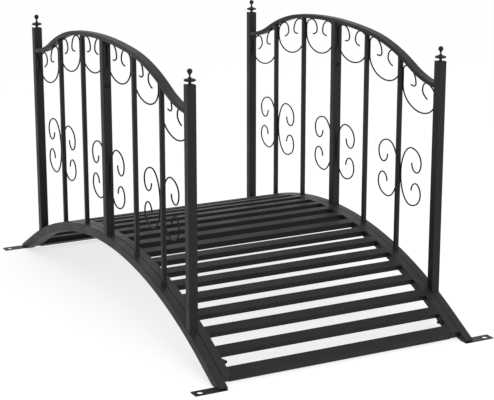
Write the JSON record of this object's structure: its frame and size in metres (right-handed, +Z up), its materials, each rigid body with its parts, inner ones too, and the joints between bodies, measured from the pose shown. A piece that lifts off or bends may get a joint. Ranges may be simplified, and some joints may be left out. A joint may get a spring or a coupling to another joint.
{
  "type": "garden bridge",
  "caption": "Small arched garden footbridge of black powder-coated steel tube, with a slatted deck and two scrollwork railings with ball finials.",
  "frame": {"origin": "on the ground plane under the middle of the deck, half way between the feet in both directions", "axes": "+Y along the deck in the walking direction, +X across it to the right-hand railing, +Z up; the bridge is drawn as it stands, its foot plates on z = 0"},
  "size_m": [0.8116, 1.299, 0.7113],
  "materials": {
    "frame_tubes": "satin black powder coat on welded square steel tube",
    "deck_slats": "satin black powder coat on flat oval-edged steel tube, a little more worn by feet",
    "scroll_wire": "satin black powder coat on bent round steel wire",
    "finials": "satin black powder coat on cast saucer and ball",
    "foot_plates": "satin black powder coat on flat steel plate"
  },
  "bodies": {
    "root": {"deck_end_tubes": "deck_slats", "deck_slats": "deck_slats", "left_arch_tube": "frame_tubes", "left_back_finial": "finials", "left_back_inner_hanging_scroll": "scroll_wire", "left_back_middle_hanging_scroll": "scroll_wire", "left_back_outer_hanging_scroll": "scroll_wire", "left_back_post": "frame_tubes", "left_back_scroll_pair": "scroll_wire", "left_deck_side": "frame_tubes", "left_feet": "foot_plates", "left_front_finial": "finials", "left_front_inner_hanging_scroll": "scroll_wire", "left_front_middle_hanging_scroll": "scroll_wire", "left_front_outer_hanging_scroll": "scroll_wire", "left_front_post": "frame_tubes", "left_front_scroll_pair": "scroll_wire", "left_infill_bars": "frame_tubes", "left_middle_post": "frame_tubes", "left_middle_scroll_pair": "scroll_wire", "left_top_rail": "frame_tubes", "right_arch_tube": "frame_tubes", "right_back_finial": "finials", "right_back_inner_hanging_scroll": "scroll_wire", "right_back_middle_hanging_scroll": "scroll_wire", "right_back_outer_hanging_scroll": "scroll_wire", "right_back_post": "frame_tubes", "right_back_scroll_pair": "scroll_wire", "right_deck_side": "frame_tubes", "right_feet": "foot_plates", "right_front_finial": "finials", "right_front_inner_hanging_scroll": "scroll_wire", "right_front_middle_hanging_scroll": "scroll_wire", "right_front_outer_hanging_scroll": "scroll_wire", "right_front_post": "frame_tubes", "right_front_scroll_pair": "scroll_wire", "right_infill_bars": "frame_tubes", "right_middle_post": "frame_tubes", "right_middle_scroll_pair": "scroll_wire", "right_top_rail": "frame_tubes"}
  },
  "joints": []
}
